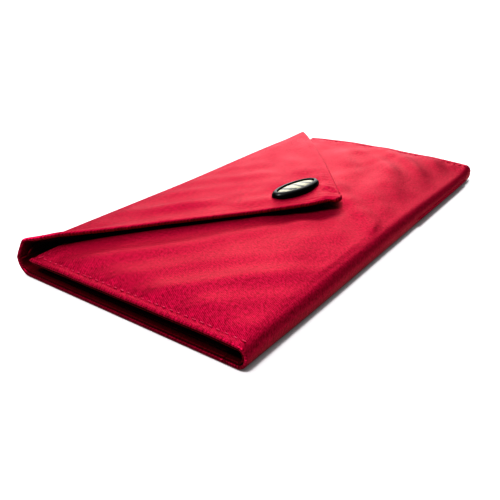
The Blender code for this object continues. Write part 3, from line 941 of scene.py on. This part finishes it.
# ---- topstitch ----------------------------------------------------------------------------------
def stitch_tree():
    """Geometry Nodes: one rounded stitch laid along each step of a seam line."""
    tree = bpy.data.node_groups.new("topstitch", "GeometryNodeTree")
    face = tree.interface
    face.new_socket("Geometry", in_out="INPUT", socket_type="NodeSocketGeometry")
    for name in ("Pitch", "Stitch Length", "Thread Radius"):
        face.new_socket(name, in_out="INPUT", socket_type="NodeSocketFloat")
    face.new_socket("Thread", in_out="INPUT", socket_type="NodeSocketMaterial")
    face.new_socket("Geometry", in_out="OUTPUT", socket_type="NodeSocketGeometry")
    start = node(tree, "NodeGroupInput").outputs
    curve = node(tree, "GeometryNodeMeshToCurve", [("Mesh", start["Geometry"])])
    even = node(
        tree,
        "GeometryNodeResampleCurve",
        [("Curve", curve.outputs["Curve"]), ("Length", start["Pitch"])],
        mode="LENGTH",
    )
    points = node(tree, "GeometryNodeCurveToPoints", [("Curve", even.outputs["Curve"])], mode="EVALUATED")
    ball = node(tree, "GeometryNodeMeshUVSphere", sockets={"Segments": 8, "Rings": 6, "Radius": 1.0})
    half = node(tree, "ShaderNodeMath", [(0, start["Stitch Length"])], {1: 0.5}, operation="MULTIPLY")
    size = node(
        tree,
        "ShaderNodeCombineXYZ",
        [("X", start["Thread Radius"]), ("Y", start["Thread Radius"]), ("Z", half.outputs[0])],
    )
    laid = node(
        tree,
        "GeometryNodeInstanceOnPoints",
        [
            ("Points", points.outputs["Points"]),
            ("Instance", ball.outputs["Mesh"]),
            ("Rotation", points.outputs["Rotation"]),
            ("Scale", size.outputs["Vector"]),
        ],
    )
    real = node(tree, "GeometryNodeRealizeInstances", [("Geometry", laid.outputs["Instances"])])
    shaded = node(
        tree,
        "GeometryNodeSetMaterial",
        [("Geometry", real.outputs["Geometry"]), ("Material", start["Thread"])],
    )
    node(tree, "NodeGroupOutput", [("Geometry", shaded.outputs["Geometry"])])
    return tree


def stitches(name, tree, lines, mat, **sizes):
    """Runs the stitch tree over seam lines, and keeps the result as a plain mesh."""
    verts, edges = [], []
    for line in lines:
        edges += [(len(verts) + k, len(verts) + k + 1) for k in range(len(line) - 1)]
        verts += [tuple(c * MM for c in p) for p in line]
    mesh = bpy.data.meshes.new(f"{name}_line")
    mesh.from_pydata(verts, edges, [])
    guide = bpy.data.objects.new(f"{name}_line", mesh)
    bpy.context.scene.collection.objects.link(guide)
    modifier = guide.modifiers.new("topstitch", "NODES")
    modifier.node_group = tree
    identifiers = {s.name: s.identifier for s in tree.interface.items_tree if s.in_out == "INPUT"}
    modifier[identifiers["Thread"]] = mat
    for socket, value in sizes.items():
        modifier[identifiers[socket.replace("_", " ")]] = value
    evaluated = guide.evaluated_get(bpy.context.evaluated_depsgraph_get())
    result = bpy.data.meshes.new_from_object(evaluated)
    result.name = name
    bpy.data.objects.remove(guide, do_unlink=True)
    result.shade_smooth()
    obj = bpy.data.objects.new(name, result)
    bpy.context.scene.collection.objects.link(obj)
    return obj


def topstitching():
    """Rows of stitches along both short sides of the front, and along its mouth."""
    tree = stitch_tree()
    lines = []
    for side in (-1, 1):
        x = side * (HALF_LENGTH - STITCH_INSET)
        ys = STITCH_START + np.arange(0.0, STITCH_RUN + 0.1, 1.0)
        pull = stitch_pull(np.full_like(ys, x), ys) * smooth((ys + 49.9) / 6)
        zs = front_height(np.full_like(ys, x), ys) - pull
        lines.append([(x, y, z + 0.12) for y, z in zip(ys, zs)])
    mouth = MOUTH_Y - MOUTH_STITCH_INSET
    xs = np.arange(-96.0, 96.1, 1.0)
    zs = front_height(xs, np.full_like(xs, mouth))
    lines.append([(x, mouth, z + 0.05) for x, z in zip(xs, zs)])
    piece = stitches(
        "front_topstitch",
        tree,
        lines,
        RED_THREAD,
        Pitch=STITCH_PITCH * MM,
        Stitch_Length=STITCH_LENGTH * MM,
        Thread_Radius=THREAD_RADIUS * MM,
    )
    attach(piece, "front")


def hardware():
    """The snap, and what fastens the button, keep their CAD shapes and get their real finishes."""
    for name, mat in (
        ("snap_socket", NICKEL),
        ("snap_magnet", DARK_MAGNET),
        ("snap_socket_washer", NICKEL),
        ("snap_stud", NICKEL),
        ("snap_stud_washer", NICKEL),
        ("button_shank", BLACK_RESIN),
        ("button_thread", RED_THREAD),
    ):
        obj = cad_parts[name]
        obj.data.materials.clear()
        obj.data.materials.append(mat)


# ---- stage --------------------------------------------------------------------------------------
def stage():
    """A pale sweep under a broad soft light overhead, a glow from the far right and a soft key light."""
    bpy.ops.mesh.primitive_plane_add(size=40.0, location=(0.0, 0.0, -0.0003))
    floor = bpy.context.object
    floor.name = "floor"
    mat, _, shader = new_material("white_paper_sweep")
    set_sockets(shader, Base_Color=linear("#bfbfc0"), Roughness=0.9, Specular_IOR_Level=0.1)
    set_sockets(shader, Emission_Color=linear("#ffffff"), Emission_Strength=0.08)
    floor.data.materials.append(mat)

    world = bpy.data.worlds.new("studio")
    bpy.context.scene.world = world
    world.use_nodes = True
    tree = world.node_tree
    background = tree.nodes["Background"]
    coord = node(tree, "ShaderNodeTexCoord")
    view = coord.outputs["Generated"]
    glows = []
    for towards, start, low, high, end in (
        ((-0.10, 0.14, 0.98), 0.62, 0.0, 1.7, 0.97),
        ((0.78, 0.48, 0.40), 0.80, 0.01, 2.2, 1.0),
    ):
        axis = Vector(towards).normalized()
        facing = node(tree, "ShaderNodeVectorMath", [(0, view)], {1: axis}, operation="DOT_PRODUCT")
        glow = node(
            tree,
            "ShaderNodeMapRange",
            [("Value", facing.outputs["Value"])],
            {"From Min": start, "From Max": end, "To Min": low, "To Max": high},
            interpolation_type="SMOOTHSTEP",
        )
        glows.append(glow.outputs["Result"])
    total = node(tree, "ShaderNodeMath", list(enumerate(glows)), operation="ADD")
    tree.links.new(total.outputs[0], background.inputs["Strength"])
    background.inputs["Color"].default_value = linear("#ffffff")

    data = bpy.data.lights.new("key_softbox", "SUN")
    data.energy = 2.0
    data.angle = math.radians(12)
    key = bpy.data.objects.new("key_softbox", data)
    key.location = (-0.40, -0.02, 0.89)
    key.rotation_euler = (-Vector(key.location)).to_track_quat("-Z", "Y").to_euler()
    bpy.context.scene.collection.objects.link(key)


def camera():
    """Low and to the left of the pouch, looking along it."""
    data = bpy.data.cameras.new("camera")
    data.lens = 42.26
    data.sensor_width = 36.0
    data.clip_start = 0.01
    cam = bpy.data.objects.new("camera", data)
    cam.location = (-0.20550, -0.12774, 0.10065)
    cam.rotation_euler = (math.radians(90 - 25.70), 0.0, math.radians(-54.385))
    bpy.context.scene.collection.objects.link(cam)
    bpy.context.scene.camera = cam
    bpy.context.scene.view_settings.view_transform = "Standard"
    bpy.context.scene.view_settings.look = "Very High Contrast"


camera()
stage()
FRONT_FIELD = front_wrinkles()
FLAP_FIELD = flap_wrinkles()
front_pieces()
back_pieces()
flap_pieces()
for side in (-1, 1):
    gusset(side)
button()
topstitching()
hardware()
